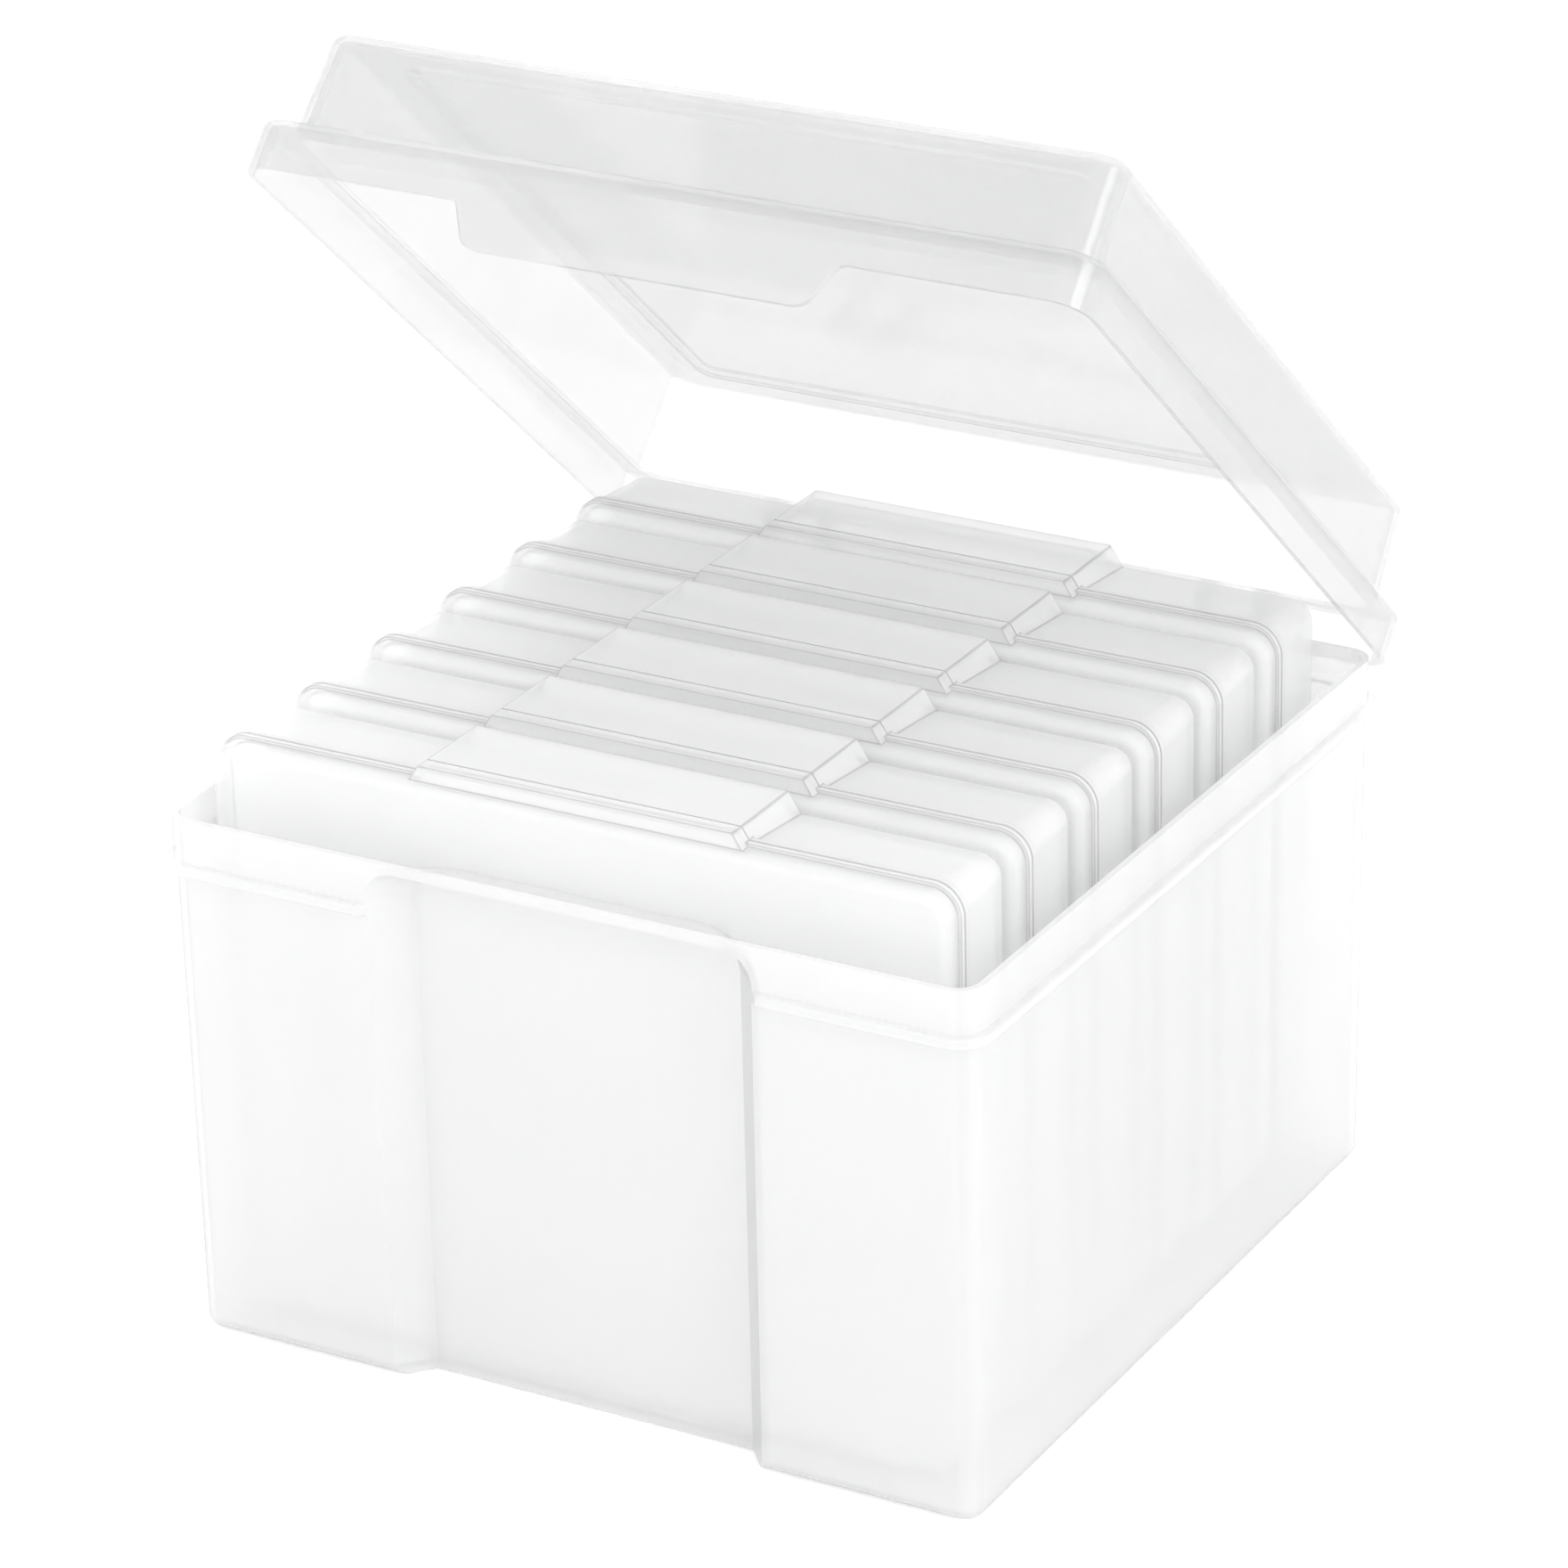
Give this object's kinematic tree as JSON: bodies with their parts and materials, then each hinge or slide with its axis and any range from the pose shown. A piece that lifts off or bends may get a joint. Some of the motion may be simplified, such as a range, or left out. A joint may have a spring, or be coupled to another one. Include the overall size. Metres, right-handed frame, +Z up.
{
  "type": "photo keeper case",
  "caption": "Clear plastic storage box with a hinged lid that holds slim photo cases on edge, shown with the lid open.",
  "frame": {"origin": "centre of the outer box's underside", "axes": "+Z up, the front with the recess and the lid's tab towards -Y, +X to its right"},
  "size_m": [0.2138, 0.2342, 0.2955],
  "materials": {
    "keeper_shell": "clear, slightly milky moulded plastic",
    "lid_shell": "clear, slightly milky moulded plastic",
    "photo_case_shell": "clear, thin moulded plastic"
  },
  "bodies": {
    "keeper": {"keeper_body": "keeper_shell"},
    "lid": {"keeper_lid": "lid_shell"},
    "photo_case_1": {"photo_case_1_tray": "photo_case_shell", "photo_case_1_cover": "photo_case_shell"},
    "photo_case_2": {"photo_case_2_tray": "photo_case_shell", "photo_case_2_cover": "photo_case_shell"},
    "photo_case_3": {"photo_case_3_tray": "photo_case_shell", "photo_case_3_cover": "photo_case_shell"},
    "photo_case_4": {"photo_case_4_tray": "photo_case_shell", "photo_case_4_cover": "photo_case_shell"},
    "photo_case_5": {"photo_case_5_tray": "photo_case_shell", "photo_case_5_cover": "photo_case_shell"},
    "photo_case_6": {"photo_case_6_tray": "photo_case_shell", "photo_case_6_cover": "photo_case_shell"}
  },
  "joints": [
    {"name": "keeper_lid_hinge", "type": "hinge", "parent": "keeper", "child": "lid", "pos_m": [0, 0.1166, 0.131], "axis": [-1, 0, 0], "range_deg": [-42.03, 67.97]},
    {"name": "photo_case_1_lift", "type": "slide", "parent": "keeper", "child": "photo_case_1", "axis": [0, 0, 1], "range_m": [0, 0.114]},
    {"name": "photo_case_2_lift", "type": "slide", "parent": "keeper", "child": "photo_case_2", "axis": [0, 0, 1], "range_m": [0, 0.111]},
    {"name": "photo_case_3_lift", "type": "slide", "parent": "keeper", "child": "photo_case_3", "axis": [0, 0, 1], "range_m": [0, 0.116]},
    {"name": "photo_case_4_lift", "type": "slide", "parent": "keeper", "child": "photo_case_4", "axis": [0, 0, 1], "range_m": [0, 0.088]},
    {"name": "photo_case_5_lift", "type": "slide", "parent": "keeper", "child": "photo_case_5", "axis": [0, 0, 1], "range_m": [0, 0.06]},
    {"name": "photo_case_6_lift", "type": "slide", "parent": "keeper", "child": "photo_case_6", "axis": [0, 0, 1], "range_m": [0, 0.032]}
  ]
}
